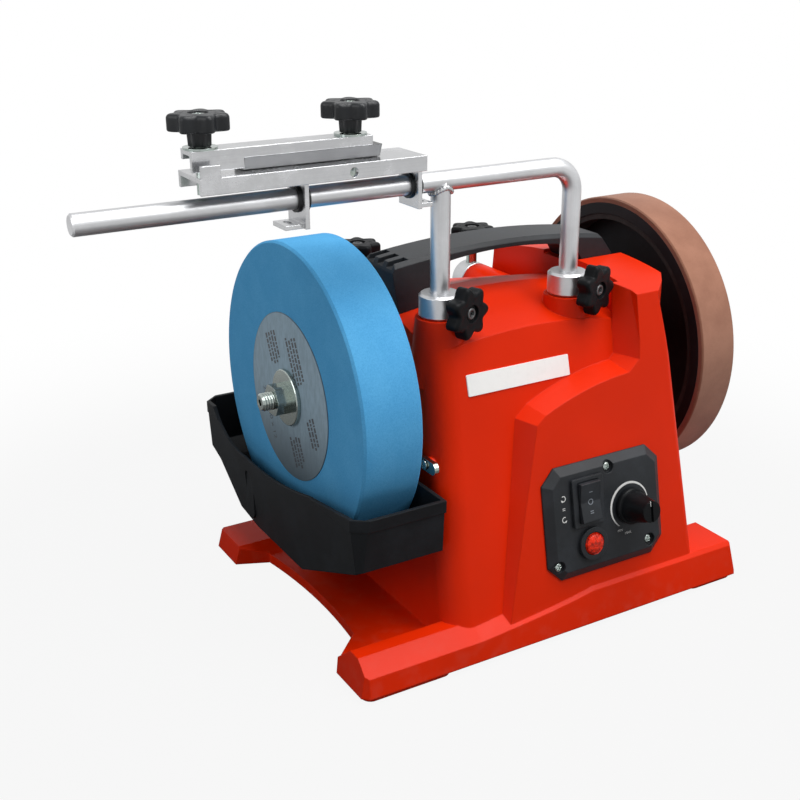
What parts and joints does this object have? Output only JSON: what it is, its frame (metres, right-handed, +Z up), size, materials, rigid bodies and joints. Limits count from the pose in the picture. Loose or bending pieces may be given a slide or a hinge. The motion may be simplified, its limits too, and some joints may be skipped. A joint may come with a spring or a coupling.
{
  "type": "wet sharpening machine",
  "caption": "Bench wet sharpening machine with a water-cooled stone, leather honing wheel, bent support bar with clamping jig, speed dial and hanging water trough.",
  "frame": {"origin": "middle of the footprint of the whole machine, on the surface it stands on", "axes": "+X along the shaft from the stone to the honing wheel, +Z up, the control panel faces -Y"},
  "size_m": [0.4474, 0.2656, 0.3365],
  "materials": {
    "red_cover": "satin",
    "black_plastic": "fine grained",
    "trough_plastic": "fine grained",
    "knob_plastic": "satin",
    "dial_plastic": "satin",
    "red_button": "gloss",
    "blue_stone": "fine grit",
    "label_card": "matt",
    "leather": "suede side out",
    "rubber": "matt",
    "bright_steel": "ground and plated",
    "jig_steel": "plated sheet",
    "zinc_steel": "zinc plated",
    "motor_steel": "satin",
    "roller_metal": "knurled",
    "bronze": "sintered",
    "board": "matt"
  },
  "bodies": {
    "housing": {"housing": "red_cover", "bottom_plate": "motor_steel", "plate_screws": "zinc_steel", "rubber_feet": "rubber", "handle": "black_plastic", "handle_studs": "zinc_steel", "front_collar_left": "bright_steel", "front_collar_right": "bright_steel", "rear_collar_left": "bright_steel", "rear_collar_right": "bright_steel", "panel_bezel": "black_plastic", "panel_screws": "zinc_steel", "switch_body": "black_plastic", "reset_ring": "black_plastic", "potentiometer": "zinc_steel", "control_board": "board", "motor": "motor_steel", "bush_left": "bronze", "bush_right": "bronze", "trough_strips": "zinc_steel", "strip_screws": "zinc_steel", "cord_gland": "black_plastic"},
    "spindle": {"main_shaft": "zinc_steel", "stone": "blue_stone", "stone_labels": "label_card", "stone_washer": "zinc_steel", "stone_flange": "zinc_steel", "stone_nut": "zinc_steel", "honing_core": "black_plastic", "leather_tread": "leather", "drive_ring": "rubber", "honing_washer": "zinc_steel", "honing_nut": "zinc_steel"},
    "motor_rotor": {"motor_spindle": "zinc_steel", "drive_roller": "roller_metal"},
    "support_bar": {"support_bar": "bright_steel", "bar_leg": "bright_steel"},
    "jig_bushes": {"jig_bushes": "bright_steel"},
    "jig": {"jig_channel": "jig_steel", "jig_bracket_left": "jig_steel", "jig_bracket_right": "jig_steel"},
    "jig_clamp": {"jig_clamp_bar": "jig_steel", "jig_jaw": "jig_steel", "jig_washers": "zinc_steel"},
    "jig_knob_left": {"jig_knob_left": "knob_plastic", "jig_screw_left": "zinc_steel"},
    "jig_knob_right": {"jig_knob_right": "knob_plastic", "jig_screw_right": "zinc_steel"},
    "clamp_knob_left": {"clamp_knob_left": "knob_plastic", "clamp_screw_left": "zinc_steel"},
    "clamp_knob_right": {"clamp_knob_right": "knob_plastic", "clamp_screw_right": "zinc_steel"},
    "rear_knob_left": {"rear_knob_left": "knob_plastic", "rear_screw_left": "zinc_steel"},
    "rear_knob_right": {"rear_knob_right": "knob_plastic", "rear_screw_right": "zinc_steel"},
    "rocker": {"rocker": "dial_plastic"},
    "speed_knob": {"speed_knob": "dial_plastic"},
    "reset_button": {"reset_button": "red_button"},
    "trough": {"trough": "trough_plastic"}
  },
  "joints": [
    {"name": "wheel_spin", "type": "hinge", "parent": "housing", "child": "spindle", "pos_m": [0, 0.0148, 0.145], "axis": [1, 0, 0], "continuous": true},
    {"name": "motor_spin", "type": "hinge", "parent": "housing", "child": "motor_rotor", "pos_m": [0.16075, 0.0148, 0.0703], "axis": [1, 0, 0], "continuous": true},
    {"name": "bar_lift", "type": "slide", "parent": "housing", "child": "support_bar", "axis": [0, 0, 1], "range_m": [-0.02, 0.04]},
    {"name": "jig_slide", "type": "slide", "parent": "support_bar", "child": "jig_bushes", "axis": [1, 0, 0], "range_m": [-0.1, 0.003]},
    {"name": "jig_tilt", "type": "hinge", "parent": "jig_bushes", "child": "jig", "pos_m": [-0.06125, -0.0472, 0.2863], "axis": [1, 0, 0], "range_deg": [-25, 25]},
    {"name": "jig_open", "type": "slide", "parent": "jig", "child": "jig_clamp", "axis": [0, 0, 1], "range_m": [0, 0.0075]},
    {"name": "jig_knob_left_turn", "type": "hinge", "parent": "jig_clamp", "child": "jig_knob_left", "pos_m": [-0.15225, -0.0472, 0.327], "axis": [0, 0, 1], "range_deg": [0, 2700]},
    {"name": "jig_knob_right_turn", "type": "hinge", "parent": "jig_clamp", "child": "jig_knob_right", "pos_m": [-0.06425, -0.0472, 0.327], "axis": [0, 0, 1], "range_deg": [0, 2700]},
    {"name": "clamp_knob_left_turn", "type": "hinge", "parent": "housing", "child": "clamp_knob_left", "pos_m": [-0.00515, -0.0472, 0.2101], "axis": [0.309, -0.9511, 0], "range_deg": [0, 720]},
    {"name": "clamp_knob_right_turn", "type": "hinge", "parent": "housing", "child": "clamp_knob_right", "pos_m": [0.09205, -0.0472, 0.2101], "axis": [0.309, -0.9511, 0], "range_deg": [0, 720]},
    {"name": "rear_knob_left_turn", "type": "hinge", "parent": "housing", "child": "rear_knob_left", "pos_m": [0.01475, 0.0943, 0.205], "axis": [0, 0, 1], "range_deg": [0, 720]},
    {"name": "rear_knob_right_turn", "type": "hinge", "parent": "housing", "child": "rear_knob_right", "pos_m": [0.11195, 0.0943, 0.205], "axis": [0, 0, 1], "range_deg": [0, 720]},
    {"name": "rocker_tilt", "type": "hinge", "parent": "housing", "child": "rocker", "pos_m": [0.06775, -0.11029, 0.08655], "axis": [1, 0, 0], "range_deg": [-9, 9]},
    {"name": "speed_turn", "type": "hinge", "parent": "housing", "child": "speed_knob", "pos_m": [0.10175, -0.11027, 0.07514], "axis": [0, -0.9815, 0.1914], "range_deg": [-135, 135]},
    {"name": "reset_press", "type": "slide", "parent": "housing", "child": "reset_button", "axis": [0, 0.9815, -0.1914], "range_m": [0, 0.0025], "stiffness_N_per_m": 400},
    {"name": "trough_lift", "type": "slide", "parent": "housing", "child": "trough", "axis": [0, 0, 1], "range_m": [0, 0.004]}
  ],
  "couplings": [
    {"joint": "motor_spin", "follows": "wheel_spin", "ratio": 10.375},
    {"joint": "jig_knob_left_turn", "follows": "jig_open", "rad_per_m": 6283.2},
    {"joint": "jig_knob_right_turn", "follows": "jig_open", "rad_per_m": 6283.2}
  ]
}
